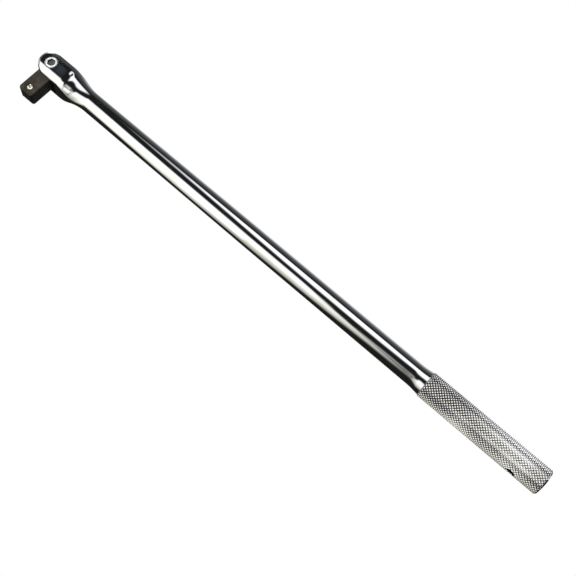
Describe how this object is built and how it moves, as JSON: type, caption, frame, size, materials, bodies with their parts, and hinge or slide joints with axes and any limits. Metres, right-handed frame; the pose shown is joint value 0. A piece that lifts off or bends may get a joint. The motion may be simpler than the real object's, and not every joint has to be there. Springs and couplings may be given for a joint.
{
  "type": "breaker bar",
  "caption": "Flex-head breaker bar: a square drive with a spring ball swings in a forged yoke on a round shank with a knurled grip and a hang hole.",
  "frame": {"origin": "where the axes of the pivot, the bar and the square drive cross", "axes": "+X along the bar towards the grip, +Z along the pivot towards the screw head, the drive is stored pointing along -Y at right angles to the bar"},
  "size_m": [0.457, 0.0375, 0.0253],
  "materials": {
    "chrome_plate": "polished chrome plate on steel, the grip's knurl satin",
    "black_oxide_steel": "black oxide, matte",
    "bronze": "plain phosphor bronze",
    "hardened_steel": "ground and polished",
    "spring_steel": "drawn wire"
  },
  "bodies": {
    "bar": {"handle_bar": "chrome_plate", "pivot_screw": "chrome_plate", "washer_near": "bronze", "washer_far": "bronze", "plunger_spring": "spring_steel"},
    "head": {"drive_head": "black_oxide_steel", "ball_spring": "spring_steel"},
    "plunger": {"friction_plunger": "hardened_steel"},
    "ball": {"retaining_ball": "hardened_steel"}
  },
  "joints": [
    {"name": "head_swing", "type": "hinge", "parent": "bar", "child": "head", "pos_m": [0, 0, 0], "axis": [0, 0, -1], "range_deg": [-20, 200]},
    {"name": "ball_press", "type": "slide", "parent": "head", "child": "ball", "axis": [0, 0, -1], "range_m": [0, 0.0011], "stiffness_N_per_m": 3000, "springref_m": -0.001, "deforming": ["ball_spring"]},
    {"name": "plunger_travel", "type": "slide", "parent": "bar", "child": "plunger", "axis": [1, 0, 0], "range_m": [0, 0.0012], "stiffness_N_per_m": 4000, "springref_m": -0.001, "deforming": ["plunger_spring"]}
  ]
}
